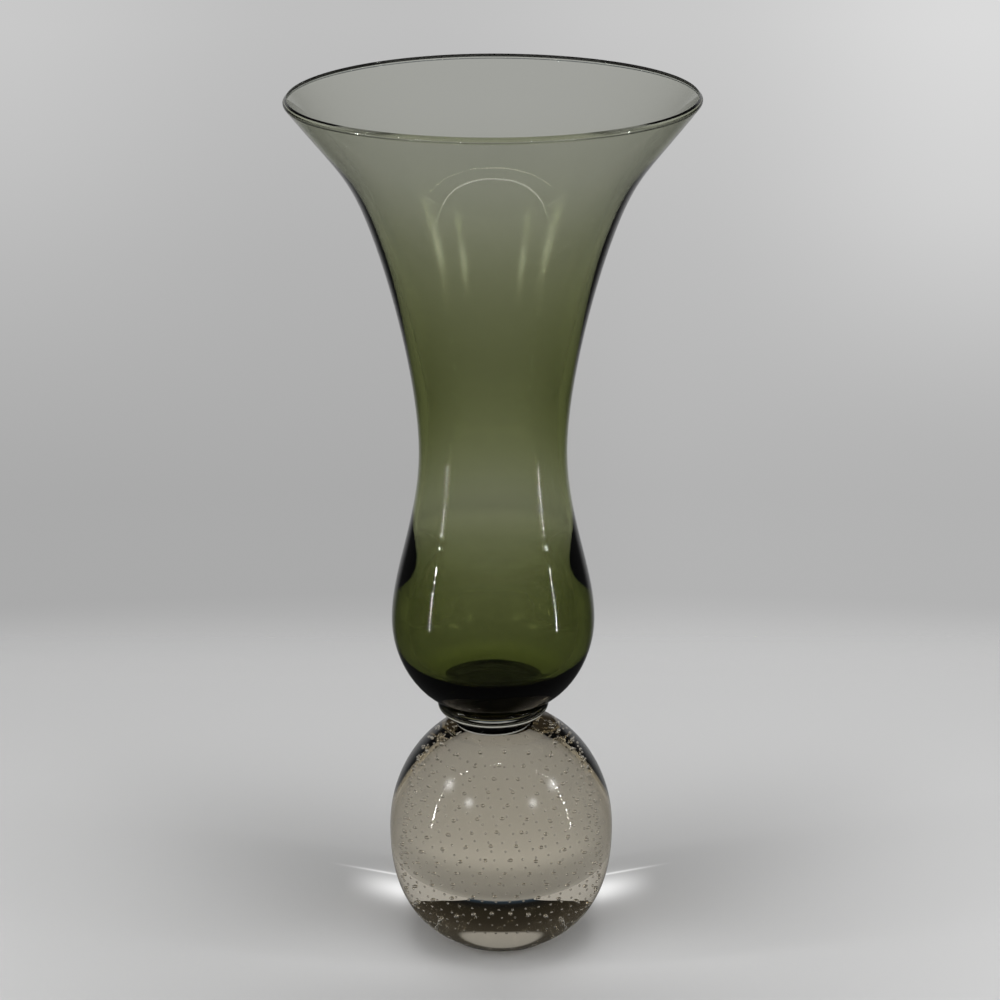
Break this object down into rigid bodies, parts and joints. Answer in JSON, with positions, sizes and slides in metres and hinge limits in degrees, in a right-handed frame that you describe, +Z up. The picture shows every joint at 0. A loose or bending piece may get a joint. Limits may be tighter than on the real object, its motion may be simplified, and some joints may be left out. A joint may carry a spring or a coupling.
{
  "type": "vase",
  "caption": "Trumpet-mouthed green glass vase with a waist and bulb, joined by two clear glass wafers to a solid clear glass ball foot full of small bubbles",
  "frame": {"origin": "centre of the vase's box at the level of the surface it stands on, which is on the bowl's own axis", "axes": "+Z up along the bowl's axis; +X is the side towards which the ball sits 2.8 mm off that axis; -Y faces the viewer"},
  "size_m": [0.139, 0.139, 0.305],
  "materials": {
    "green_glass": "fire-polished olive green blown glass",
    "clear_glass": "fire-polished clear glass",
    "ball_glass": "polished clear glass with a faint warm grey tint, bubbles inside, ground flat base"
  },
  "bodies": {
    "root": {"bowl": "green_glass", "upper_wafer": "clear_glass", "lower_wafer": "clear_glass", "ball_foot": "ball_glass"}
  },
  "joints": []
}
